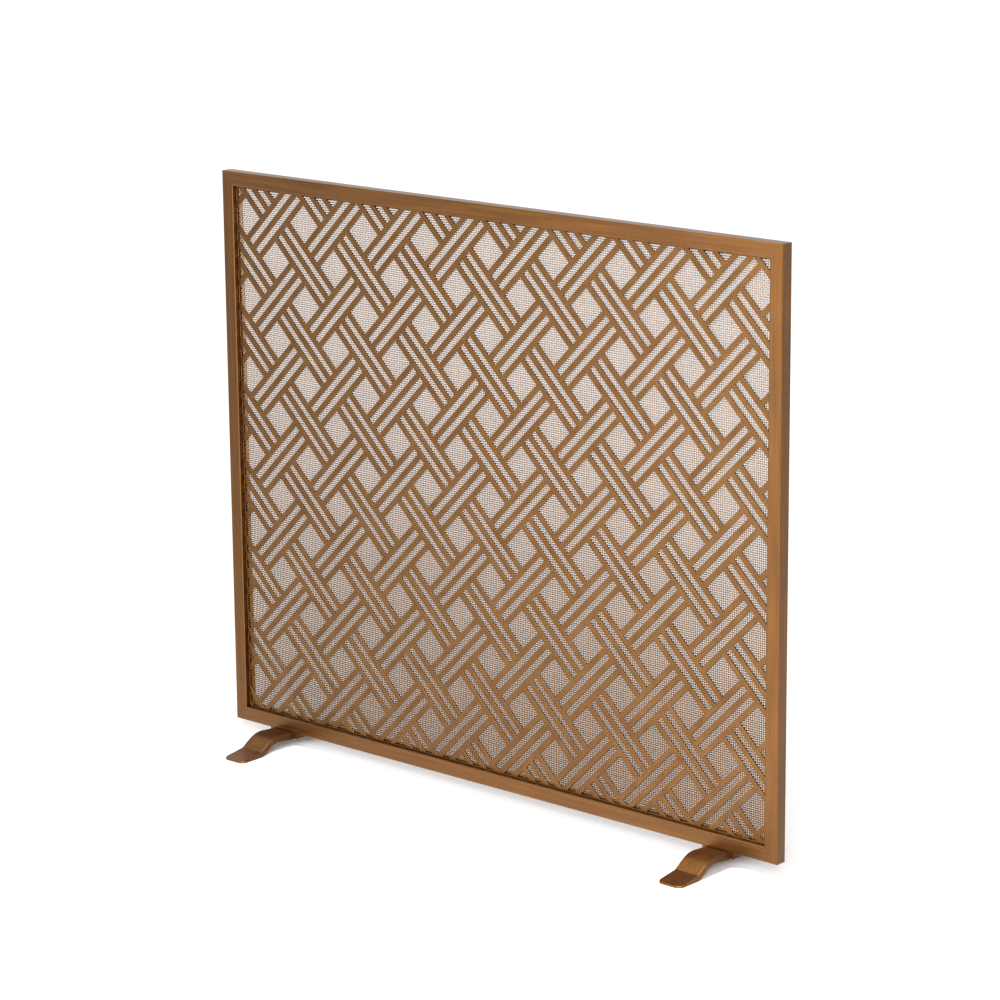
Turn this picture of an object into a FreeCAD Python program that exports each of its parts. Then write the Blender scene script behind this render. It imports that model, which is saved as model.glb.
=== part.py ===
"""Free-standing flat fireplace screen.

A mitred frame of rectangular tube holds a sheet cut into a diagonal basket weave, with wire cloth behind it.
The screen stands on two S-curved feet. Units are millimetres. X runs along the width, Y from the front (-) to
the back (+), and Z up. The origin is on the floor, under the middle of the screen.
"""
import FreeCAD, Part
import Sketcher
import math
import os

Vector = FreeCAD.Vector
Rotation = FreeCAD.Rotation
Placement = FreeCAD.Placement

DIMENSIONS = {
    # frame
    "frame_width": 965.0,
    "frame_height": 790.0,
    "floor_gap": 21.5,
    "tube_face": 20.0,
    "tube_depth": 18.0,
    "tube_wall": 1.5,
    "tube_edge": 1.2,
    # lattice panel
    "panel_recess": 6.5,
    "panel_thickness": 2.0,
    "panel_clearance": 0.25,
    "panel_rim": 1.5,
    "weave_repeat": 111.2,
    "weave_bar": 7.5,
    "weave_slot": 9.0,
    "weave_smallest": 6.0,
    # weld beads behind the lattice
    "tack_leg": 1.5,
    "tack_length": 8.0,
    # wire cloth and the strips that hold it
    "cloth_thickness": 2.0,
    "cloth_inset": 2.0,
    "strip_thickness": 3.0,
    "strip_width": 6.0,
    # screws through the strips
    "pin_shank": 2.9,
    "pin_length": 8.0,
    "pin_head": 5.4,
    "pin_head_depth": 1.4,
    "pin_clearance": 3.2,
    "pin_bore": 3.0,
    # foot plates
    "foot_centre": 389.0,
    "plate_width": 50.0,
    "plate_thickness": 8.0,
    # foot legs: places on the side outline, out from the plate and up from the floor
    "leg_width": 38.0,
    "leg_reach": 101.0,
    "root_low": 11.0,
    "crest_out": 38.4,
    "crest_up": 24.6,
    "crease_out": 63.5,
    "crease_up": 8.0,
    "tip_up": 2.6,
    "heel_out": 60.6,
    "arch_out": 36.7,
    "arch_up": 14.8,
    # foot legs: radii of the bends, the tip and the edges
    "crest_bend": 43.0,
    "arch_bend": 30.0,
    "heel_bend": 25.0,
    "crease_bend": 2.5,
    "tip_corner": 9.0,
    "leg_edge": 1.0,
    # foot screws and the rivet nuts that they turn into
    "bolt_shank": 4.9,
    "bolt_length": 18.0,
    "bolt_head": 9.6,
    "bolt_head_depth": 2.6,
    "bolt_clearance": 5.4,
    "bolt_spacing": 26.0,
    "nut_bore": 5.0,
    "nut_body": 7.0,
    "nut_length": 12.0,
    "nut_flange": 9.4,
    "nut_flange_depth": 0.8,
    "nut_bulge": 9.0,
    "nut_bulge_height": 3.0,
    "nut_pocket": 9.8,
}

TACKS_ACROSS = 6
TACKS_UP = 5
SCREWS_ACROSS = 5
SCREWS_UP = 4
END_MARGIN = 45.0
CORNER_SIGNS = ((-1, -1), (1, -1), (1, 1), (-1, 1))

doc = FreeCAD.newDocument("fireplace_screen")
sheet = doc.addObject("Spreadsheet::Sheet", "Dimensions")
for row, (alias, value) in enumerate(DIMENSIONS.items(), start=1):
    sheet.set(f"A{row}", alias)
    sheet.set(f"B{row}", str(value))
    sheet.setAlias(f"B{row}", alias)
doc.recompute()

parts = []


# ---------------------------------------------------------------- helpers

def size(alias):
    """A dimension's value, read back from the spreadsheet."""
    return float(getattr(sheet, alias))


def bind(obj, **expressions):
    """Drive an object's properties from the spreadsheet; {name} stands for one of its aliases."""
    for name, expression in expressions.items():
        path = name.replace("_", ".") if name.startswith("Placement") else name
        obj.setExpression(path, expression.replace("{", "Dimensions.").replace("}", ""))


def keep(obj, label, placement=None):
    """Name a finished sub-part and put it in its place."""
    obj.Label = label
    if placement is not None:
        obj.Placement = placement
    parts.append(obj)
    return obj


def at(x, y, z, axis=(0, 0, 1), angle=0):
    return Placement(Vector(x, y, z), Rotation(Vector(*axis), angle))


def even_places(length, margin, count):
    """Evenly spaced places along a centred length."""
    step = (length - 2 * margin) / (count - 1)
    return [margin - length / 2 + step * i for i in range(count)]


def solid(kind, name, x, y, z, rotation=None, body=None, **sizes):
    """A primitive with bound sizes and a bound corner or centre; in a body it adds or takes away material."""
    obj = body.newObject(kind, name) if body else doc.addObject(kind, name)
    if rotation:
        obj.Placement.Rotation = rotation
    bind(obj, Placement_Base_x=x, Placement_Base_y=y, Placement_Base_z=z, **sizes)
    return obj


def copies(name, master, placements):
    """Separate copies of one shape, as a group."""
    group = doc.addObject("Part::Feature", name)
    group.Shape = Part.Compound([master.Shape.transformed(place.toMatrix(), True) for place in placements])
    return group


def cut(name, base, tool):
    result = doc.addObject("Part::Cut", name)
    result.Base = base
    result.Tool = tool
    doc.recompute()
    if not result.Shape.Volume < base.Shape.Volume:
        raise RuntimeError(f"{name}: nothing is cut away")
    return result


def edges_where(shape, test):
    """Names of the straight edges for which test(direction, middle) is true."""
    names = []
    for index, edge in enumerate(shape.Edges, start=1):
        if edge.Curve.TypeId != "Part::GeomLine":
            continue
        direction = edge.tangentAt(edge.FirstParameter)
        if test(direction, edge.CenterOfMass):
            names.append(f"Edge{index}")
    return names


def round_edges(body, name, base, edge_names, radius):
    fillet = body.newObject("PartDesign::Fillet", name)
    fillet.Base = (base, edge_names)
    bind(fillet, Radius=radius)
    doc.recompute()
    return fillet


# ---------------------------------------------------------------- heights and depths shared by several pieces

opening_width = size("frame_width") - 2 * size("tube_face")
opening_height = size("frame_height") - 2 * size("tube_face")
middle_z = size("floor_gap") + size("frame_height") / 2
lattice_back = size("panel_recess") + size("panel_thickness") - size("tube_depth") / 2
cloth_back = lattice_back + size("cloth_thickness")
strip_middle = cloth_back + size("strip_width") / 2
screw_places_across = even_places(opening_width, END_MARGIN, SCREWS_ACROSS)
screw_places_up = even_places(opening_height, END_MARGIN, SCREWS_UP)
bolt_places = [side * size("foot_centre") + step * size("bolt_spacing") / 2
               for side in (-1, 1) for step in (-1, 1)]


# ---------------------------------------------------------------- frame

def make_tube(name, length, screw_places, placement, bolt_holes=()):
    """A tube along local X with 45 degree mitres. Its long, outer side faces local -Z."""
    body = doc.addObject("PartDesign::Body", name + "_body")
    blank = solid("PartDesign::AdditiveBox", name + "_blank",
                  "-{%s} / 2" % length, "-{tube_depth} / 2", "-{tube_face} / 2", body=body,
                  Length="{%s}" % length, Width="{tube_depth}", Height="{tube_face}")
    doc.recompute()
    along = edges_where(blank.Shape, lambda direction, middle: abs(direction.x) > 0.999)
    round_edges(body, name + "_edges", blank, along, "{tube_edge}")
    solid("PartDesign::SubtractiveBox", name + "_bore",
          "-{%s} / 2" % length, "{tube_wall} - {tube_depth} / 2", "{tube_wall} - {tube_face} / 2", body=body,
          Length="{%s}" % length, Width="{tube_depth} - 2 * {tube_wall}",
          Height="{tube_face} - 2 * {tube_wall}")
    mitre = dict(body=body, Length="4 * {tube_face}", Width="2 * {tube_depth}", Height="2 * {tube_face}")
    solid("PartDesign::SubtractiveBox", name + "_left_mitre",
          "-{%s} / 2 - {tube_face}" % length, "-{tube_depth}", "-1.5 * {tube_face}",
          rotation=Rotation(Vector(0, 1, 0), -45), **mitre)
    solid("PartDesign::SubtractiveBox", name + "_right_mitre",
          "{%s} / 2 - 2 * {tube_face}" % length, "-{tube_depth}", "1.5 * {tube_face}",
          rotation=Rotation(Vector(0, 1, 0), 45), **mitre)
    for index, place in enumerate(screw_places):
        solid("PartDesign::SubtractiveCylinder", f"{name}_screw_hole_{index}",
              f"{place}", f"{strip_middle}", "0", body=body, Radius="{pin_bore} / 2", Height="{tube_face}")
    for index, place in enumerate(bolt_holes):
        solid("PartDesign::SubtractiveCylinder", f"{name}_nut_hole_{index}",
              f"{place}", "0", "-{tube_face}", body=body, Radius="{nut_body} / 2", Height="{tube_face}")
    doc.recompute()
    return keep(body, name, placement)


def make_frame():
    side = size("frame_width") / 2 - size("tube_face") / 2
    rise = size("frame_height") / 2 - size("tube_face") / 2
    y_axis = (0, 1, 0)
    mirrored_across = [-place for place in screw_places_across]
    make_tube("bottom_rail", "frame_width", screw_places_across, at(0, 0, middle_z - rise), bolt_places)
    make_tube("top_rail", "frame_width", mirrored_across, at(0, 0, middle_z + rise, y_axis, 180))
    make_tube("left_stile", "frame_height", screw_places_up, at(-side, 0, middle_z, y_axis, 90))
    make_tube("right_stile", "frame_height", screw_places_up, at(side, 0, middle_z, y_axis, -90))


# ---------------------------------------------------------------- lattice

def weave_openings():
    """Outlines of the slots and diamonds: (centre, direction, length, width) in the panel's plane.

    Strips of three bars cross every `pitch` along both diagonals. Where two strips cross, the one that lies
    on top keeps its two slots right through the crossing, and the other one's slots stop at its edge.
    """
    pitch = size("weave_repeat") / math.sqrt(2)
    bar = size("weave_bar")
    slot = size("weave_slot")
    strip = 3 * bar + 2 * slot
    gap = pitch - strip
    reach = int(size("frame_width") / size("weave_repeat")) + 3
    rising = Vector(1, 0, 1).normalize()
    falling = Vector(1, 0, -1).normalize()
    for i in range(-2 * reach, 2 * reach):
        for j in range(-2 * reach, 2 * reach):
            yield (rising * i + falling * j) * pitch, rising, gap, gap
            crossing = (rising * (i + 0.5) + falling * (j + 0.5)) * pitch
            along, across = (rising, falling) if (i + j) % 2 == 0 else (falling, rising)
            for side in (-0.5, 0.5):
                yield crossing + across * side * (bar + slot), along, pitch + gap, slot


def make_lattice():
    """A flat sheet with the weave's openings, cut off by a narrow rim all round."""
    width = opening_width - 2 * size("panel_clearance")
    height = opening_height - 2 * size("panel_clearance")
    rim = size("panel_rim")
    half_x = width / 2 - rim
    half_z = height / 2 - rim

    def rectangle(half_width, half_height):
        corners = [Vector(x * half_width, 0, z * half_height) for x, z in CORNER_SIGNS]
        return Part.makePolygon(corners + corners[:1])

    window = Part.Face(rectangle(half_x, half_z))
    outlines = [rectangle(width / 2, height / 2)]
    for centre, along, length, breadth in weave_openings():
        if abs(centre.x) > half_x + length or abs(centre.z) > half_z + length:
            continue
        across = Vector(-along.z, 0, along.x)
        corners = [centre + along * (a * length / 2) + across * (b * breadth / 2)
                   for a, b in CORNER_SIGNS]
        outline = Part.makePolygon(corners + corners[:1])
        if all(abs(c.x) < half_x and abs(c.z) < half_z for c in corners):
            outlines.append(outline)
            continue
        for piece in Part.Face(outline).common(window).Faces:
            if piece.Area > size("weave_smallest") ** 2:
                outlines.append(piece.OuterWire)

    face = doc.addObject("Part::Feature", "lattice_face")
    face.Shape = Part.makeFace(outlines, "Part::FaceMakerBullseye")
    panel = doc.addObject("Part::Extrusion", "lattice")
    panel.Base = face
    panel.DirMode = "Custom"
    panel.Dir = Vector(0, 1, 0)
    panel.Solid = True
    bind(panel, LengthFwd="{panel_thickness}")
    keep(panel, "lattice_panel", at(0, lattice_back - size("panel_thickness"), middle_z))


def make_tack_welds():
    """Quarter-round beads in the corner between the lattice's back and the tubes' inner walls."""
    bead = solid("Part::Cylinder", "weld_bead", "0", "0", "-{tack_length} / 2",
                 Radius="{tack_leg}", Height="{tack_length}")
    bead.Angle = 90
    doc.recompute()
    half_x = opening_width / 2
    half_z = opening_height / 2
    places = []
    x_axis, y_axis, z_axis = Vector(1, 0, 0), Vector(0, 1, 0), Vector(0, 0, 1)
    on_bottom = Rotation(y_axis, z_axis, x_axis, "XYZ")
    on_top = Rotation(-z_axis, y_axis, x_axis, "XYZ")
    for x in even_places(opening_width, END_MARGIN / 2, TACKS_ACROSS):
        places.append(Placement(Vector(x, 0, -half_z), on_bottom))
        places.append(Placement(Vector(x, 0, half_z), on_top))
    for z in even_places(opening_height, END_MARGIN / 2, TACKS_UP):
        places.append(at(-half_x, 0, z))
        places.append(at(half_x, 0, z, (0, 0, 1), 90))
    keep(copies("weld_beads", bead, places), "lattice_tack_welds", at(0, lattice_back, middle_z))


# ---------------------------------------------------------------- wire cloth and its strips

def make_cloth():
    """The wire cloth's envelope."""
    cloth = solid("Part::Box", "cloth", "-{frame_width} / 2 + {tube_face} + {cloth_inset}", f"{lattice_back}",
                  "{floor_gap} + {tube_face} + {cloth_inset}",
                  Length="{frame_width} - 2 * {tube_face} - 2 * {cloth_inset}",
                  Width="{cloth_thickness}",
                  Height="{frame_height} - 2 * {tube_face} - 2 * {cloth_inset}")
    keep(cloth, "spark_mesh")


def make_strip(name, length, screw_places, placement):
    """A flat strip along local X that lies on a tube's inner wall. Its screw heads are let in on local +Z."""
    blank = solid("Part::Box", name + "_blank", f"{-length / 2}", "-{strip_width} / 2", "0",
                  Width="{strip_width}", Height="{strip_thickness}")
    blank.Length = length
    hole = solid("Part::Cylinder", name + "_hole", "0", "0", "-{strip_thickness}",
                 Radius="{pin_clearance} / 2", Height="3 * {strip_thickness}")
    sink = solid("Part::Cone", name + "_sink", "0", "0", "{strip_thickness} - {pin_head_depth}",
                 Radius1="{pin_shank} / 2", Radius2="{pin_head} / 2", Height="{pin_head_depth}")
    cutter = doc.addObject("Part::Fuse", name + "_cutter")
    cutter.Base = hole
    cutter.Tool = sink
    doc.recompute()
    holes = copies(name + "_holes", cutter, [at(place, 0, 0) for place in screw_places])
    keep(cut(name + "_drilled", blank, holes), name, placement)


def wall_places():
    """For each side of the opening: its name, and a placement with local +Z pointing into the opening."""
    half_x = opening_width / 2
    half_z = opening_height / 2
    y_axis = (0, 1, 0)
    return {
        "bottom": at(0, strip_middle, middle_z - half_z),
        "top": at(0, strip_middle, middle_z + half_z, y_axis, 180),
        "left": at(-half_x, strip_middle, middle_z, y_axis, 90),
        "right": at(half_x, strip_middle, middle_z, y_axis, -90),
    }


def make_retainers():
    upright_length = opening_height - 2 * size("strip_thickness")
    screw_shank = solid("Part::Cylinder", "pin_shank_solid", "0", "0", "{strip_thickness} - {pin_length}",
                        Radius="{pin_shank} / 2", Height="{pin_length}")
    screw_head = solid("Part::Cone", "pin_head_solid", "0", "0", "{strip_thickness} - {pin_head_depth}",
                       Radius1="{pin_shank} / 2", Radius2="{pin_head} / 2", Height="{pin_head_depth}")
    screw = doc.addObject("Part::Fuse", "pin_screw")
    screw.Base = screw_shank
    screw.Tool = screw_head
    doc.recompute()
    screw_placements = []
    for side, wall in wall_places().items():
        flat = side in ("top", "bottom")
        length = opening_width if flat else upright_length
        places = screw_places_across if flat else screw_places_up
        make_strip("mesh_retainer_" + side, length, places, wall)
        screw_placements += [wall * at(place, 0, 0) for place in places]
    keep(copies("pin_screws", screw, screw_placements), "retainer_screws")


# ---------------------------------------------------------------- feet

def make_plate(name, centre):
    """The plate under the bottom rail, with countersunk holes and pockets for the rivet nuts' flanges."""
    blank = solid("Part::Box", name + "_blank",
                  "-{plate_width} / 2", "-{tube_depth} / 2", "-{plate_thickness}",
                  Length="{plate_width}", Width="{tube_depth}", Height="{plate_thickness}")
    hole = solid("Part::Cylinder", name + "_hole", "0", "0", "-2 * {plate_thickness}",
                 Radius="{bolt_clearance} / 2", Height="3 * {plate_thickness}")
    sink = solid("Part::Cone", name + "_sink", "0", "0", "-{plate_thickness}",
                 Radius1="{bolt_head} / 2", Radius2="{bolt_shank} / 2", Height="{bolt_head_depth}")
    pocket = solid("Part::Cylinder", name + "_pocket", "0", "0", "-{nut_flange_depth}",
                   Radius="{nut_pocket} / 2", Height="{plate_thickness}")
    cutter = doc.addObject("Part::MultiFuse", name + "_cutter")
    cutter.Shapes = [hole, sink, pocket]
    doc.recompute()
    step = size("bolt_spacing") / 2
    holes = copies(name + "_holes", cutter, [at(-step, 0, 0), at(step, 0, 0)])
    keep(cut(name + "_drilled", blank, holes), name, at(centre, 0, size("floor_gap")))


LEG_OUTLINE = (
    # out from the plate, up from the floor
    ("", "floor_gap"),
    ("crest_out", "crest_up"),
    ("crease_out", "crease_up"),
    ("leg_reach", "tip_up"),
    ("leg_reach", ""),
    ("heel_out", ""),
    ("arch_out", "arch_up"),
    ("", "root_low"),
)


def draw_leg_outline(sketch):
    """The leg's side outline before bending radii, each corner driven by its two dimensions."""
    corners = [Vector(size(out) if out else 0, size(up) if up else 0, 0) for out, up in LEG_OUTLINE]
    count = len(corners)
    for index in range(count):
        sketch.addGeometry(Part.LineSegment(corners[index], corners[(index + 1) % count]), False)
    for index in range(count):
        sketch.addConstraint(Sketcher.Constraint("Coincident", index, 2, (index + 1) % count, 1))
    x_axis, y_axis = -1, -2
    for index, (out, up) in enumerate(LEG_OUTLINE):
        for kind, alias, zero_axis in (("DistanceX", out, y_axis), ("DistanceY", up, x_axis)):
            if alias:
                number = sketch.addConstraint(Sketcher.Constraint(kind, -1, 1, index, 1, size(alias)))
                sketch.setExpression(f"Constraints[{number}]", "Dimensions." + alias)
            else:
                sketch.addConstraint(Sketcher.Constraint("PointOnObject", index, 1, zero_axis))


def soft_edges(shape):
    """Names of the edges along both flanks and round the tip, where two faces meet at an angle."""
    names = []
    for index, edge in enumerate(shape.Edges, start=1):
        box = edge.BoundBox
        on_flank = box.YLength < 0.01 and box.XLength > 0.01
        at_tip = (box.ZLength < 0.9 * size("tip_up")
                  and box.XMin > size("leg_reach") - size("tip_corner") - 0.01)
        if on_flank or at_tip:
            names.append(f"Edge{index}")
    return names


def make_leg(name, placement):
    """One S-curved leg with a pad that thins towards its tip. Local X is out from the plate, Y across."""
    body = doc.addObject("PartDesign::Body", name + "_body")
    sketch = body.newObject("Sketcher::SketchObject", name + "_outline")
    origin_plane = next(plane for plane in body.Origin.OriginFeatures if plane.Role == "XZ_Plane")
    sketch.AttachmentSupport = [(origin_plane, "")]
    sketch.MapMode = "FlatFace"
    draw_leg_outline(sketch)
    doc.recompute()
    bar = body.newObject("PartDesign::Pad", name + "_bar")
    bar.Profile = sketch
    bar.Midplane = True
    bind(bar, Length="{leg_width}")
    doc.recompute()

    def across_at(out, up):
        return lambda direction, middle: (abs(direction.y) > 0.999 and abs(middle.x - size(out)) < 0.1
                                          and abs(middle.z - (size(up) if up else 0)) < 0.1)

    feature = bar
    for bend, out, up in (("crest_bend", "crest_out", "crest_up"), ("arch_bend", "arch_out", "arch_up"),
                          ("heel_bend", "heel_out", ""), ("crease_bend", "crease_out", "crease_up")):
        names = edges_where(feature.Shape, across_at(out, up))
        feature = round_edges(body, f"{name}_{bend}", feature, names, "{%s}" % bend)
    upright = edges_where(feature.Shape, lambda direction, middle: abs(direction.z) > 0.999
                          and abs(middle.x - size("leg_reach")) < 0.1)
    feature = round_edges(body, name + "_tip_corners", feature, upright, "{tip_corner}")
    round_edges(body, name + "_edges", feature, soft_edges(feature.Shape), "{leg_edge}")
    return keep(body, name, placement)


def make_feet():
    front = size("tube_depth") / 2
    for side, sign in (("left", -1), ("right", 1)):
        centre = sign * size("foot_centre")
        make_plate(side + "_foot_plate", centre)
        make_leg(side + "_foot_front_leg", at(centre, -front, 0, (0, 0, 1), -90))
        make_leg(side + "_foot_rear_leg", at(centre, front, 0, (0, 0, 1), 90))


def make_foot_fasteners():
    """Screws up through the plates, and their rivet nuts in the bottom rail's lower wall."""
    shank = solid("Part::Cylinder", "bolt_shank_solid", "0", "0", "-{plate_thickness}",
                  Radius="{bolt_shank} / 2", Height="{bolt_length}")
    head = solid("Part::Cone", "bolt_head_solid", "0", "0", "-{plate_thickness}",
                 Radius1="{bolt_head} / 2", Radius2="{bolt_shank} / 2", Height="{bolt_head_depth}")
    bolt = doc.addObject("Part::Fuse", "bolt")
    bolt.Base = shank
    bolt.Tool = head

    flange = solid("Part::Cylinder", "nut_flange_solid", "0", "0", "-{nut_flange_depth}",
                   Radius="{nut_flange} / 2", Height="{nut_flange_depth}")
    barrel = solid("Part::Cylinder", "nut_barrel_solid", "0", "0", "-{nut_flange_depth}",
                   Radius="{nut_body} / 2", Height="{nut_length}")
    bulge = solid("Part::Cylinder", "nut_bulge_solid", "0", "0", "{tube_wall}",
                  Radius="{nut_bulge} / 2", Height="{nut_bulge_height}")
    outside = doc.addObject("Part::MultiFuse", "nut_outside")
    outside.Shapes = [flange, barrel, bulge]
    bore = solid("Part::Cylinder", "nut_bore_solid", "0", "0", "-{nut_length}",
                 Radius="{nut_bore} / 2", Height="3 * {nut_length}")
    doc.recompute()
    nut = cut("nut", outside, bore)

    places = [at(x, 0, size("floor_gap")) for x in bolt_places]
    keep(copies("bolts", bolt, places), "foot_screws")
    keep(copies("nuts", nut, places), "rivet_nuts")


# ---------------------------------------------------------------- build, check and write

def check_document():
    doc.recompute()
    for obj in doc.Objects:
        if any(word in obj.State for word in ("Invalid", "Error")):
            raise RuntimeError(f"{obj.Name}: {obj.State}")
    for part in parts:
        if part.Shape.isNull() or not part.Shape.isValid():
            raise RuntimeError(f"{part.Label}: its shape isn't valid")


def write_parts():
    os.makedirs("parts", exist_ok=True)
    for part in parts:
        part.Shape.exportStep(f"parts/{part.Label}.step")
        box = part.Shape.BoundBox
        print(f"{part.Label}: {len(part.Shape.Solids)} solids, {part.Shape.Volume:.0f} mm3,",
              f"x {box.XMin:.1f}..{box.XMax:.1f}, y {box.YMin:.1f}..{box.YMax:.1f},",
              f"z {box.ZMin:.1f}..{box.ZMax:.1f}")


make_frame()
make_lattice()
make_tack_welds()
make_cloth()
make_retainers()
make_feet()
make_foot_fasteners()
check_document()
write_parts()
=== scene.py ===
"""Looks of the fireplace screen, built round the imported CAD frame. Lengths are in metres."""
import math

import bmesh
import bpy
import numpy as np
from mathutils import Matrix, Vector
from mathutils.geometry import delaunay_2d_cdt


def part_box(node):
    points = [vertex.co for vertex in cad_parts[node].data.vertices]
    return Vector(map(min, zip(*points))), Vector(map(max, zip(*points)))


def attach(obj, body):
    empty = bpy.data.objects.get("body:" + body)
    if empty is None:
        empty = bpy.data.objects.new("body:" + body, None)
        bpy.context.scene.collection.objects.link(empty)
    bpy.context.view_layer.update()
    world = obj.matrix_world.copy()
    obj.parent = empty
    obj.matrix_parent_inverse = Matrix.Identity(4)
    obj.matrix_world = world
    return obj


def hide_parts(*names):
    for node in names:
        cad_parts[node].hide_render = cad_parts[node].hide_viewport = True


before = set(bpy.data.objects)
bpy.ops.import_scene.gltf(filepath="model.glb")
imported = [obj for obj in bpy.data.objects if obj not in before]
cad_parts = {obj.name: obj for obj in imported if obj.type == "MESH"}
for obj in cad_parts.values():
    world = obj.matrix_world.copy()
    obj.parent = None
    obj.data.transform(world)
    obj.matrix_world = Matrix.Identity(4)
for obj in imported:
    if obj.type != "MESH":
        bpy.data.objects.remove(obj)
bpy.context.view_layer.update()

MM = 0.001

# Brass tones, as linear colours
RIGHT_STILE_TONE = (0.153, 0.061, 0.011)
# The left stile is the same brass as the right one, given a darker tone as painted shade
SHADED_LEFT_STILE_TONE = (0.137, 0.055, 0.010)
RAIL_TONE = (0.154, 0.060, 0.010)
LATTICE_TONE = (0.169, 0.079, 0.025)
# Cut sides of the lattice: dark as painted shade
SHADED_CUT_TONE = (0.060, 0.026, 0.008)
# Rounded edges of the lattice: worn brass, lighter also as a painted highlight
WORN_HIGHLIGHT_TONE = (0.240, 0.112, 0.034)
FOOT_TONE = (0.200, 0.085, 0.024)
WIRE_TONE = (0.392, 0.303, 0.240)
# Wires low down: darker as painted shade
SHADED_WIRE_TONE = (0.185, 0.082, 0.015)
# Mesh retainer strips and tack welds: much lighter than the other brass, as painted light
LIT_STRIP_TONE = (0.480, 0.250, 0.075)
BOLT_TONE = (0.190, 0.120, 0.060)

# What a tone is multiplied by under patina, and where the brush has laid it bare
DARK_PATINA = np.array((0.60, 0.58, 0.55))
BRUSHED_BRIGHT = np.array((1.24, 1.27, 1.34))

# Brush lines: scales along x, y and z, where small is long
ALONG_X = (8.0, 300.0, 300.0)
ALONG_Y = (330.0, 26.0, 330.0)
ALONG_Z = (300.0, 300.0, 8.0)

# The noise values that brush lines run between, what the factors of the darkest and brightest lines add
# up to, and the grooves that they leave
LINE_RANGE = (0.30, 0.72)
DARK_PLUS_BRIGHT_STREAK = 1.8
GROOVE_STRENGTH = 0.25
GROOVE_DEPTH = 0.05 * MM

# Patina clouds: noise values that they run between, and roughness that they add
CLOUD_RANGE = (0.34, 0.68)
CLOUD_ROUGHNESS = 0.22

# Specks: noise scale, noise values that they run between, and how much they darken and dent
SPECK_SCALE = 260.0
SPECK_RANGE = (0.52, 0.78)
SPECK_SHARE = 0.25
SPECK_SHADE = 0.7
DENT_STRENGTH = 0.15
DENT_DEPTH = 0.06 * MM

# Roughness against the brush lines: noise values, and what is added to the metal's roughness at each
ROUGHNESS_RANGE = (0.3, 0.7)
LEAST_ROUGH = -0.06
MOST_ROUGH = 0.07
COAT_ROUGHNESS = 0.30

# Worn edges, also brightened as a painted highlight: the slants that this runs between, and the share of it
# that the darkest clouds leave
EDGE_SLANTS = (0.03, 0.12)
WEAR_AND_HIGHLIGHT_UNDER_CLOUDS = 0.45

# Painted shade on flanks next to the floor: squarenesses and heights that it runs between
FLANK_SQUARENESS = (0.8, 0.98)
FLANK_SHADE_HEIGHTS = (0.03, 0.25)

# Weave of the lattice
WEAVE_REPEAT = 111.2 * MM
WEAVE_BAR = 7.5 * MM
WEAVE_SLOT = 9.0 * MM
PANEL_RIM = 1.5 * MM
SMALLEST_OPENING = 6.0 * MM
CUT_EDGE = 0.35 * MM
TRIANGLES_INSIDE_EDGES = 1
SAME_POINT = 1e-9

# The lattice's material slots
FLAT_FACE, WORN_HIGHLIGHT_EDGE, SHADED_CUT_SIDE = range(3)

# Wire cloth
WIRE = 0.96 * MM
WIRE_BREADTH = 1.46 * MM
WIRE_SIDES = 4  # so that a wire's two end caps have four corners, as the faces along it do
WIRE_PITCH = 2.94 * MM
WIRE_WANDER = 0.05 * MM
WANDER_SEED = 11
UPRIGHTS_PER_PIECE = 79
CROSSWIRES_PER_PIECE = 64

# Studio: the focal length is in picture widths
FLOOR_COLOUR = (0.86, 0.86, 0.86, 1.0)
FLOOR_ROUGHNESS = (0.75, 0.95)
FOCAL_LENGTH = 3.492
SENSOR_MM = 36.0


# ---------------------------------------------------------------- node helpers

def new_material(name):
    """An empty node material, and a function that adds a node to it.

    That function also sets the node's properties and inputs, and links the inputs that are given as sockets.
    """
    mat = bpy.data.materials.new(name)
    mat.use_nodes = True
    tree = mat.node_tree
    tree.nodes.clear()

    def add(kind, inputs=None, **properties):
        node = tree.nodes.new(kind)
        for setting, value in properties.items():
            setattr(node, setting, value)
        for key, value in (inputs or {}).items():
            if isinstance(value, bpy.types.NodeSocket):
                tree.links.new(value, node.inputs[key])
            else:
                node.inputs[key].default_value = value
        return node

    return mat, add


def noise(add, place, scale, detail, roughness, distortion=0.0):
    inputs = {"Vector": place, "Scale": scale, "Detail": detail, "Roughness": roughness,
              "Distortion": distortion}
    return add("ShaderNodeTexNoise", inputs).outputs["Fac"]


def ramp(add, value, start, end, at_start=0.0, at_end=1.0, **properties):
    """Output that goes from at_start to at_end while the value goes from start to end."""
    inputs = {"Value": value, "From Min": start, "From Max": end, "To Min": at_start, "To Max": at_end}
    return add("ShaderNodeMapRange", inputs, **properties).outputs["Result"]


def maths(add, operation, *values):
    return add("ShaderNodeMath", dict(enumerate(values)), operation=operation).outputs["Value"]


def multiplied(add, colour, factors):
    return add("ShaderNodeVectorMath", {0: colour, 1: factors}, operation="MULTIPLY").outputs["Vector"]


def mix_colours(add, share, first, second):
    """Colour output of a blend from first to second, which are colours or sockets."""
    return add("ShaderNodeMix", {0: share, 6: first, 7: second}, data_type="RGBA").outputs[2]


def split(add, vector, axis):
    return add("ShaderNodeSeparateXYZ", {"Vector": vector}).outputs[axis]


def shade(tone, factor):
    """The tone times a number, or times one number for each channel, as a colour."""
    return (*np.multiply(tone, factor), 1.0)


# ---------------------------------------------------------------- metal

def squareness(add, axis):
    """How squarely a face looks along the axis: 1 where it does, and 0 on faces that run along it."""
    along = split(add, add("ShaderNodeNewGeometry").outputs["True Normal"], axis)
    return maths(add, "MULTIPLY", along, along)


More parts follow.
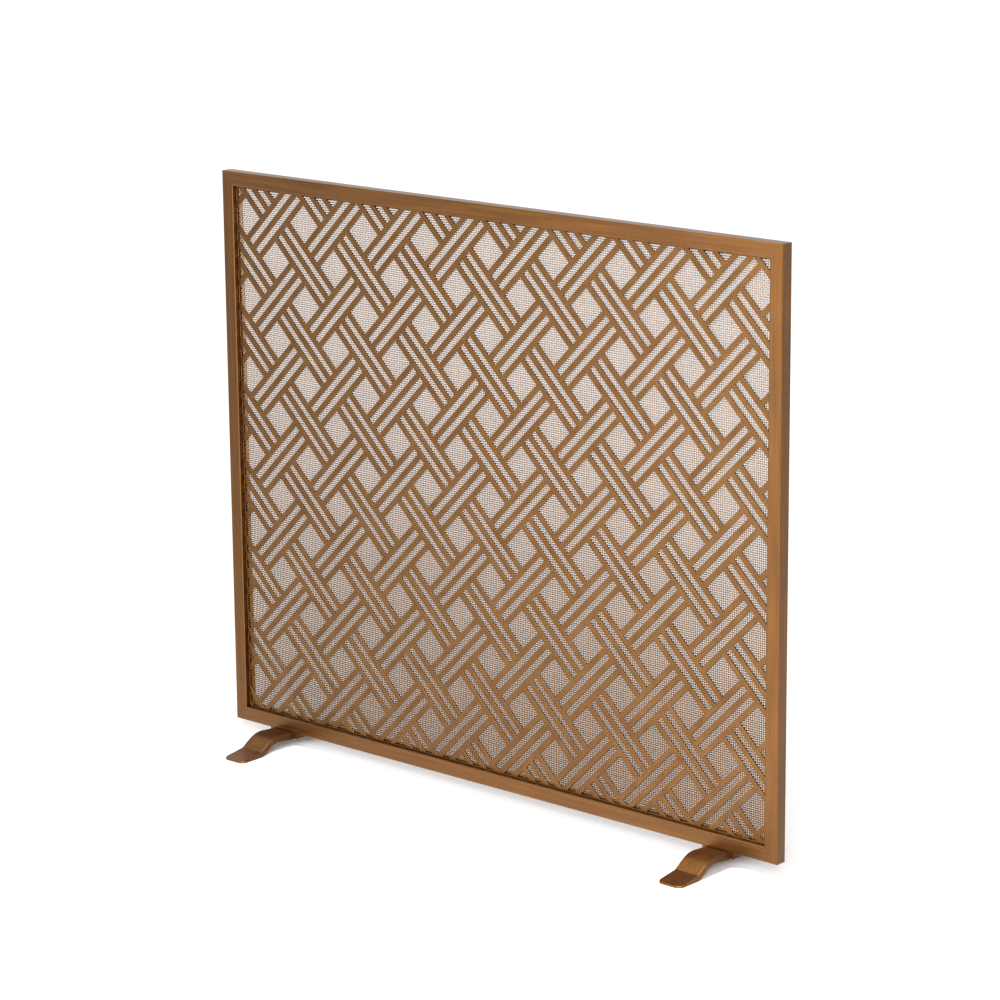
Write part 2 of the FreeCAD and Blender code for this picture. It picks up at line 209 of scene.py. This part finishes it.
def wear_and_highlight_share(add, axis, cloud_share):
    """How much of an edge is brightened, as rubbed-off patina and as a painted highlight: nothing on faces
    square to the axis or along it.
    """
    square = squareness(add, axis)
    slant = maths(add, "MULTIPLY", square, maths(add, "SUBTRACT", 1.0, square))
    patchy = ramp(add, cloud_share, 0.0, 1.0, at_start=1.0, at_end=WEAR_AND_HIGHLIGHT_UNDER_CLOUDS)
    return maths(add, "MULTIPLY", ramp(add, slant, *EDGE_SLANTS), patchy)


def low_flank_shade_share(add, axis, place):
    """How far a flank is darkened by painted shade: fully next to the floor, and less and less further up.
    """
    flank = ramp(add, squareness(add, axis), *FLANK_SQUARENESS)
    low = ramp(add, split(add, place, "Z"), *FLANK_SHADE_HEIGHTS, at_start=1.0, at_end=0.0)
    return maths(add, "MULTIPLY", flank, low)


def metal(name, tone, grain, roughness, patina=0.35, patina_size=9.0, coat=0.12, streak=0.80, low_shade=None,
          flank_axis=None, wear_and_highlight=1.0, flank_shade_low=1.0):
    """Aged, brushed and lacquered metal.

    grain: scale of the brush lines along x, y and z; small is long.
    patina: how far the darkest clouds go towards DARK_PATINA.
    patina_size: scale of the clouds; small is large clouds.
    coat: weight of the lacquer.
    streak: what the tone is multiplied by in the darkest brush lines.
    low_shade: painted shade, darker towards the bottom: (low height, high height, what the tone is
    multiplied by at the low height).
    flank_axis: "X" or "Z", the axis square to the flanks; rounded edges beside a flank are worn, and
    brightened as a painted highlight.
    wear_and_highlight: how many times brighter a worn edge is, as wear and as a painted highlight.
    flank_shade_low: painted shade, what the tone of the flanks, square to flank_axis, is multiplied by next
    to the floor.
    """
    mat, add = new_material(name)
    place = add("ShaderNodeTexCoord").outputs["Object"]
    stretched = add("ShaderNodeMapping", {"Vector": place, "Scale": grain}).outputs["Vector"]
    lines = noise(add, stretched, scale=1.0, detail=5.0, roughness=0.62)
    clouds = noise(add, place, scale=patina_size, detail=6.0, roughness=0.6, distortion=0.4)
    specks = noise(add, place, scale=SPECK_SCALE, detail=3.0, roughness=0.7)
    cloud_share = ramp(add, clouds, *CLOUD_RANGE)
    patina_share = maths(add, "MULTIPLY", cloud_share, patina)
    speck_share = maths(add, "MULTIPLY", ramp(add, specks, *SPECK_RANGE), SPECK_SHARE)

    bright_line = shade(tone, BRUSHED_BRIGHT * (DARK_PLUS_BRIGHT_STREAK - streak))
    colour = mix_colours(add, ramp(add, lines, *LINE_RANGE), shade(tone, streak), bright_line)
    colour = mix_colours(add, patina_share, colour, shade(tone, DARK_PATINA))
    colour = mix_colours(add, speck_share, colour, shade(tone, DARK_PATINA * SPECK_SHADE))
    if flank_axis:
        # Rounded edges beside a flank: worn, and brightened further as a painted highlight
        colour = mix_colours(add, wear_and_highlight_share(add, flank_axis, cloud_share), colour, shade(tone, wear_and_highlight))
    # Painted shade: flanks darker next to the floor
    if flank_shade_low < 1:
        shaded_flank = multiplied(add, colour, (flank_shade_low,) * 3)
        colour = mix_colours(add, low_flank_shade_share(add, flank_axis, place), colour, shaded_flank)
    # Painted shade: the tone darkens towards the bottom
    if low_shade:
        low, high, low_shade_factor = low_shade
        clear = ramp(add, split(add, place, "Z"), low, high, interpolation_type="SMOOTHSTEP")
        colour = multiplied(add, colour, mix_colours(add, clear, (*low_shade_factor, 1.0), (1.0,) * 4))

    line_roughness = ramp(add, lines, *ROUGHNESS_RANGE, roughness + LEAST_ROUGH, roughness + MOST_ROUGH)
    rough = maths(add, "MULTIPLY_ADD", patina_share, CLOUD_ROUGHNESS, line_roughness)
    grooves = add("ShaderNodeBump", {"Height": lines, "Strength": GROOVE_STRENGTH, "Distance": GROOVE_DEPTH})
    dents = add("ShaderNodeBump", {"Height": specks, "Strength": DENT_STRENGTH, "Distance": DENT_DEPTH,
                                   "Normal": grooves.outputs["Normal"]})
    surface = add("ShaderNodeBsdfPrincipled", {"Base Color": colour, "Metallic": 1.0, "Roughness": rough,
                                               "Coat Weight": coat, "Coat Roughness": COAT_ROUGHNESS,
                                               "Normal": dents.outputs["Normal"]})
    add("ShaderNodeOutputMaterial", {"Surface": surface.outputs["BSDF"]})
    return mat


rail_brass = metal("brass_rail", RAIL_TONE, ALONG_X, roughness=0.36, coat=0.38, streak=0.74,
                   flank_axis="Z", wear_and_highlight=1.25)
right_stile_brass = metal("brass_stile", RIGHT_STILE_TONE, ALONG_Z, roughness=0.36, coat=0.3, streak=0.74,
                          flank_axis="X", wear_and_highlight=1.1, flank_shade_low=0.62)
# Left stile: darker tone as painted shade
shaded_left_stile_brass = metal("brass_left_stile_shaded", SHADED_LEFT_STILE_TONE, ALONG_Z, roughness=0.36, coat=0.3, streak=0.74,
                         flank_axis="X", wear_and_highlight=1.5)
lattice_brass = metal("brass_lattice", LATTICE_TONE, grain=(420.0,) * 3, roughness=0.40, patina=0.70,
                      patina_size=24.0, streak=0.72)
leg_brass = metal("brass_leg", FOOT_TONE, ALONG_Y, roughness=0.38, patina=0.6, patina_size=38.0,
                  flank_axis="X", wear_and_highlight=1.15, flank_shade_low=0.55)
# Wire cloth: darker towards the bottom as painted shade
wire_brass = metal("brass_wire", WIRE_TONE, grain=(300.0,) * 3, roughness=0.34, patina_size=16.0,
                   low_shade=(0.10, 0.72, np.divide(SHADED_WIRE_TONE, WIRE_TONE)))
# Retainer strips and tack welds: lighter tone as painted light
lit_strip_brass = metal("brass_strip_lit", LIT_STRIP_TONE, grain=(500.0,) * 3, roughness=0.45, patina=0.4)
# Cut sides of the lattice: near black as painted shade
shaded_cut_brass = metal("brass_cut_side_shade", SHADED_CUT_TONE, grain=(600.0,) * 3, roughness=0.5, patina=0.6, coat=0.0)
# Rounded edges of the lattice: worn, and lighter as a painted highlight
worn_highlight_brass = metal("brass_worn_highlight_edge", WORN_HIGHLIGHT_TONE, grain=(600.0,) * 3, roughness=0.3, patina=0.2)
bolt_metal = metal("bolt_metal", BOLT_TONE, grain=(700.0,) * 3, roughness=0.34, patina_size=60.0)

CAD_FINISHES = {
    rail_brass: ("bottom_rail", "top_rail"),
    right_stile_brass: ("right_stile",),
    shaded_left_stile_brass: ("left_stile",),
    leg_brass: ("left_foot_plate", "right_foot_plate", "left_foot_front_leg", "left_foot_rear_leg",
                "right_foot_front_leg", "right_foot_rear_leg"),
    lit_strip_brass: ("mesh_retainer_bottom", "mesh_retainer_top", "mesh_retainer_left", "mesh_retainer_right",
                  "lattice_tack_welds"),
    bolt_metal: ("retainer_screws", "foot_screws", "rivet_nuts"),
}
for finish, names in CAD_FINISHES.items():
    for node_name in names:
        for material_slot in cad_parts[node_name].material_slots:
            material_slot.material = finish


# ---------------------------------------------------------------- object helpers

def new_object(name, data):
    obj = bpy.data.objects.new(name, data)
    bpy.context.scene.collection.objects.link(obj)
    return obj


def stand_for(piece, node):
    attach(piece, "root")
    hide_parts(node)


# ---------------------------------------------------------------- lattice

def sides_of(corners):
    return zip(corners, corners[1:] + corners[:1])


def signed_area(corners):
    """Area inside an outline, above zero if it runs anticlockwise."""
    return sum(a[0] * b[1] - b[0] * a[1] for a, b in sides_of(corners)) / 2


def clipped(corners, half_x, half_z):
    """What is left of a convex outline inside a window round the origin."""
    for axis, sign, limit in ((0, 1, half_x), (0, -1, half_x), (1, 1, half_z), (1, -1, half_z)):
        kept = []
        for here, after in sides_of(corners):
            room_here = limit - sign * here[axis]
            room_after = limit - sign * after[axis]
            if room_here >= 0:
                kept.append(here)
            if (room_here > 0 > room_after) or (room_here < 0 < room_after):
                share = room_here / (room_here - room_after)
                kept.append(tuple(h + (a - h) * share for h, a in zip(here, after)))
        corners = kept
        if len(corners) < 3:
            return []
    return corners


def weave_outlines(width, height):
    """Openings of the basket weave: diamonds and slots, cut off at the rim."""
    pitch = WEAVE_REPEAT / math.sqrt(2)
    gap = pitch - 3 * WEAVE_BAR - 2 * WEAVE_SLOT
    half_x, half_z = width / 2 - PANEL_RIM, height / 2 - PANEL_RIM
    rising, falling = (math.sqrt(0.5), math.sqrt(0.5)), (math.sqrt(0.5), -math.sqrt(0.5))
    cells_out = 2 * int(width / WEAVE_REPEAT) + 6  # enough to pass the sheet's corners

    def point(i, j):
        return tuple((rising[k] * i + falling[k] * j) * pitch for k in (0, 1))

    wanted = []
    for i in range(-cells_out, cells_out):
        for j in range(-cells_out, cells_out):
            wanted.append((point(i, j), rising, gap, gap))
            along, across = (rising, falling) if (i + j) % 2 == 0 else (falling, rising)
            x, z = point(i + 0.5, j + 0.5)
            for side in (-0.5, 0.5):
                shift = side * (WEAVE_BAR + WEAVE_SLOT)
                middle = (x + across[0] * shift, z + across[1] * shift)
                wanted.append((middle, along, pitch + gap, WEAVE_SLOT))

    for (x, z), along, length, breadth in wanted:
        if abs(x) > half_x + length or abs(z) > half_z + length:
            continue
        across = (-along[1], along[0])
        corners = [(x + along[0] * a * length / 2 + across[0] * b * breadth / 2,
                    z + along[1] * a * length / 2 + across[1] * b * breadth / 2)
                   for a, b in ((-1, -1), (1, -1), (1, 1), (-1, 1))]
        corners = clipped(corners, half_x, half_z)
        if corners and abs(signed_area(corners)) > SMALLEST_OPENING ** 2:
            yield corners


def inset(corners, distance):
    """A convex outline with each side moved inwards by the distance, or outwards if it is negative."""
    distance = math.copysign(1.0, signed_area(corners)) * distance
    moved = []
    for before, here, after in zip(corners[-1:] + corners[:-1], corners, corners[1:] + corners[:1]):
        first = (Vector(here) - Vector(before)).normalized()
        second = (Vector(after) - Vector(here)).normalized()
        side = (Vector((-first.y, first.x)) + Vector((-second.y, second.x))).normalized()
        reach = distance / side.dot(Vector((-first.y, first.x)))
        moved.append((here[0] + side.x * reach, here[1] + side.y * reach))
    return moved


def outline_points(outlines, into):
    """Points of the border, which is the first outline, and of the openings, with the metal cut back."""
    border, *openings = outlines
    points = inset(border, into)
    for corners in openings:
        points += inset(corners, -into)
    return points


def flat_triangles(points, outlines, edges):
    """Clockwise triangles of the metal between the border and the openings, as numbers of points."""
    owners = [owner for owner, corners in enumerate(outlines) for _ in corners]
    points = [Vector(p) for p in points]
    found = delaunay_2d_cdt(points, edges, [], TRIANGLES_INSIDE_EDGES, SAME_POINT)
    triangles, point_sources = found[2], found[3]
    for triangle in triangles:
        a, b, c = (point_sources[v][0] for v in triangle)
        inside_one_opening = owners[a] == owners[b] == owners[c] != 0
        if not inside_one_opening:
            clockwise = (points[b] - points[a]).cross(points[c] - points[a]) < 0
            yield (a, b, c) if clockwise else (c, b, a)


def turn_faces_outwards(mesh):
    shape = bmesh.new()
    shape.from_mesh(mesh)
    bmesh.ops.recalc_face_normals(shape, faces=shape.faces)
    shape.to_mesh(mesh)
    shape.free()


def make_lattice():
    """A sheet with rounded edges: rings of points follow each outline from the front face to the back."""
    low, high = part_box("lattice_panel")
    centre = (low + high) / 2
    width, depth, height = high - low
    half_x, half_z = width / 2, height / 2
    border = [(-half_x, -half_z), (half_x, -half_z), (half_x, half_z), (-half_x, half_z)]
    outlines = [border] + list(weave_outlines(width, height))
    bend = CUT_EDGE * (1 - math.sqrt(0.5))
    rounding = [(CUT_EDGE, 0.0), (bend, bend), (0.0, CUT_EDGE)]
    rings = rounding + [(into, depth - along) for into, along in reversed(rounding)]
    vertices = [(centre.x + x, low.y + along, centre.z + z)
                for into, along in rings for x, z in outline_points(outlines, into)]

    starts = np.cumsum([0] + [len(corners) for corners in outlines]).tolist()
    total = starts.pop()
    edges = [(start + k, start + (k + 1) % len(corners))
             for start, corners in zip(starts, outlines) for k in range(len(corners))]
    last_ring = (len(rings) - 1) * total
    faces = list(flat_triangles(outline_points(outlines, CUT_EDGE), outlines, edges))
    faces += [tuple(last_ring + v for v in reversed(triangle)) for triangle in faces]
    finishes = [FLAT_FACE] * len(faces)
    for ring in range(len(rings) - 1):
        here, after = ring * total, (ring + 1) * total
        faces += [(here + start, after + start, after + end, here + end) for start, end in edges]
        # The ring in the middle of the cut is the cut side, dark as painted shade; the rings at its edges
        # are worn and lighter as a painted highlight
        finishes += [SHADED_CUT_SIDE if ring == len(rounding) - 1 else WORN_HIGHLIGHT_EDGE] * len(edges)

    mesh = bpy.data.meshes.new("lattice_sheet")
    mesh.from_pydata(vertices, [], faces)
    mesh.validate()
    for mat in (lattice_brass, worn_highlight_brass, shaded_cut_brass):
        mesh.materials.append(mat)
    mesh.polygons.foreach_set("material_index", finishes)
    turn_faces_outwards(mesh)
    stand_for(new_object("lattice_sheet", mesh), "lattice_panel")


make_lattice()


# ---------------------------------------------------------------- wire cloth

def wire_group(name, places, crossings, ends, middle_y, upright, first_index, draws):
    """Wires side by side, each going over and under the wires that it crosses.

    places: where the wires lie across; crossings: where they meet the others, along them.
    first_index: the first wire's number in the whole cloth, which says whether it starts over or under.
    """
    stations = np.concatenate([[ends[0]], crossings, [ends[1]]])
    count, rings = len(places), len(stations)
    angles = np.arange(WIRE_SIDES) * 2 * math.pi / WIRE_SIDES
    ripple = np.where(np.arange(rings) % 2 == 0, 1.0, -1.0)
    sign = np.where((first_index + np.arange(count)) % 2 == 0, 1.0, -1.0) * (1.0 if upright else -1.0)
    height = middle_y + sign[:, None] * ripple[None, :] * WIRE / 2
    wander = draws.normal(0.0, WIRE_WANDER, (count, 1)) + np.zeros((1, rings))
    across = np.asarray(places)[:, None] + wander
    ring_across = across[:, :, None] + WIRE_BREADTH / 2 * np.cos(angles)[None, None, :]
    ring_height = height[:, :, None] + WIRE / 2 * np.sin(angles)[None, None, :]
    ring_along = np.broadcast_to(stations[None, :, None], ring_across.shape)
    ring_x, ring_z = (ring_across, ring_along) if upright else (ring_along, ring_across)
    vertices = np.stack([ring_x, ring_height, ring_z], axis=-1).reshape(-1, 3)

    wire_starts = np.arange(count)[:, None, None] * rings * WIRE_SIDES
    base = wire_starts + np.arange(rings - 1)[None, :, None] * WIRE_SIDES
    corner = np.arange(WIRE_SIDES)
    following = (corner + 1) % WIRE_SIDES
    round_wire = [base + corner, base + following, base + WIRE_SIDES + following, base + WIRE_SIDES + corner]
    quads = np.stack(round_wire, axis=-1).reshape(-1, len(round_wire))
    first_caps = wire_starts[:, 0] + corner[::-1]
    last_caps = wire_starts[:, 0] + (rings - 1) * WIRE_SIDES + corner
    quads = np.concatenate([quads, first_caps, last_caps])
    if upright:
        quads = quads[:, ::-1]

    mesh = bpy.data.meshes.new(name)
    mesh.vertices.add(len(vertices))
    mesh.vertices.foreach_set("co", vertices.astype(np.float32).ravel())
    mesh.loops.add(quads.size)
    mesh.loops.foreach_set("vertex_index", quads.astype(np.int32).ravel())
    mesh.polygons.add(len(quads))
    mesh.polygons.foreach_set("loop_start", np.arange(len(quads), dtype=np.int32) * quads.shape[1])
    mesh.update(calc_edges=True)
    mesh.polygons.foreach_set("use_smooth", np.ones(len(quads), dtype=bool))
    mesh.materials.append(wire_brass)
    stand_for(new_object(name, mesh), "spark_mesh")


def wire_places(middle, low, high):
    """Where a row of wires lies, centred between low and high."""
    count = int((high - low - WIRE) / WIRE_PITCH) + 1
    return middle + (np.arange(count) - (count - 1) / 2) * WIRE_PITCH


def make_cloth():
    low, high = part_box("spark_mesh")
    middle = (low + high) / 2
    draws = np.random.default_rng(WANDER_SEED)
    places_x = wire_places(middle.x, low.x, high.x)
    places_z = wire_places(middle.z, low.z, high.z)
    for kind, places, crossings, ends, per_piece in (
            ("uprights", places_x, places_z, (low.z, high.z), UPRIGHTS_PER_PIECE),
            ("crosswires", places_z, places_x, (low.x, high.x), CROSSWIRES_PER_PIECE)):
        for number, first in enumerate(range(0, len(places), per_piece), start=1):
            group = places[first:first + per_piece]
            wire_group(f"wire_cloth_{kind}_{number}", group, crossings, ends, middle.y, kind == "uprights",
                       first, draws)


make_cloth()


# ---------------------------------------------------------------- floor, light and camera

def make_floor(reach):
    mat, add = new_material("studio_floor")
    place = add("ShaderNodeTexCoord").outputs["Object"]
    tooth = noise(add, place, scale=90.0, detail=3.0, roughness=0.5)
    surface = add("ShaderNodeBsdfPrincipled", {"Base Color": FLOOR_COLOUR,
                                               "Roughness": ramp(add, tooth, 0.0, 1.0, *FLOOR_ROUGHNESS),
                                               "Specular IOR Level": 0.2})
    add("ShaderNodeOutputMaterial", {"Surface": surface.outputs["BSDF"]})
    corners = [(-reach, -reach, 0.0), (reach, -reach, 0.0), (reach, reach, 0.0), (-reach, reach, 0.0)]
    mesh = bpy.data.meshes.new("studio_floor")
    mesh.from_pydata(corners, [], [(0, 1, 2, 3)])
    mesh.materials.append(mat)
    new_object("studio_floor", mesh)


def aim(obj, target):
    direction = Vector(target) - obj.location
    obj.rotation_mode = "QUATERNION"
    obj.rotation_quaternion = direction.to_track_quat("-Z", "Y")


def softbox(name, place, target, size, power, spread=180.0):
    """A rectangular light that the camera doesn't see. Spread is in degrees, and 180 is no grid."""
    lamp = bpy.data.lights.new(name, "AREA")
    lamp.shape = "RECTANGLE"
    lamp.size, lamp.size_y = size
    lamp.energy = power
    lamp.spread = math.radians(spread)
    obj = new_object(name, lamp)
    obj.location = place
    aim(obj, target)
    obj.visible_camera = False


def sun(name, azimuth, elevation, strength, breadth):
    """A far, soft light. Azimuth 0 shines from the front and 90 from the right."""
    lamp = bpy.data.lights.new(name, "SUN")
    lamp.energy = strength
    lamp.angle = math.radians(breadth)
    obj = new_object(name, lamp)
    a, e = math.radians(azimuth), math.radians(elevation)
    obj.location = (math.sin(a) * math.cos(e), -math.cos(a) * math.cos(e), math.sin(e))
    aim(obj, (0.0, 0.0, 0.0))


def make_world(strength):
    world = bpy.data.worlds.new("studio")
    world.use_nodes = True
    background = world.node_tree.nodes["Background"]
    background.inputs["Color"].default_value = (1.0, 1.0, 1.0, 1.0)
    background.inputs["Strength"].default_value = strength
    bpy.context.scene.world = world


def make_camera(place, yaw, pitch, roll):
    """A long lens. Yaw turns it to the left of +Y, pitch turns it down, and roll tips its right side up."""
    yaw, pitch, roll = math.radians(yaw), math.radians(pitch), math.radians(roll)
    forward = Vector((-math.sin(yaw) * math.cos(pitch), math.cos(yaw) * math.cos(pitch), -math.sin(pitch)))
    right = forward.cross(Vector((0.0, 0.0, 1.0))).normalized()
    up = right.cross(forward)
    x_axis = right * math.cos(roll) + up * math.sin(roll)
    y_axis = up * math.cos(roll) - right * math.sin(roll)
    lens = bpy.data.cameras.new("camera")
    lens.sensor_width = SENSOR_MM
    lens.lens = SENSOR_MM * FOCAL_LENGTH
    lens.clip_start = 0.1
    lens.clip_end = 200.0
    camera = new_object("camera", lens)
    turn = Matrix((x_axis, y_axis, -forward)).transposed().to_4x4()
    camera.matrix_world = Matrix.Translation(place) @ turn
    bpy.context.scene.camera = camera


make_floor(reach=30.0)
make_world(strength=1.0)
sun("key", azimuth=41.0, elevation=27.0, strength=2.2, breadth=20.0)
sun("edge", azimuth=45.0, elevation=4.0, strength=0.34, breadth=12.0)
softbox("overhead_box", place=(0.40, -0.6, 1.4), target=(0.40, -0.6, 0.0), size=(0.6, 0.6), power=27.0)
softbox("front_box", place=(-0.15, -1.8, 0.6), target=(0.25, 0.0, 0.4), size=(1.0, 0.8), power=11.0)
softbox("low_box", place=(-0.35, -1.3, 0.25), target=(0.3, 0.0, 0.1), size=(0.8, 0.4), power=0.45,
        spread=100.0)
softbox("floor_box", place=(0.33, -0.5, 0.9), target=(0.33, -0.45, 0.0), size=(0.3, 0.3), power=0.85,
        spread=60.0)
make_camera(place=(2.9716, -3.3438, 1.5244), yaw=41.47, pitch=13.9065, roll=-0.50)
bpy.context.scene.view_settings.view_transform = "Standard"
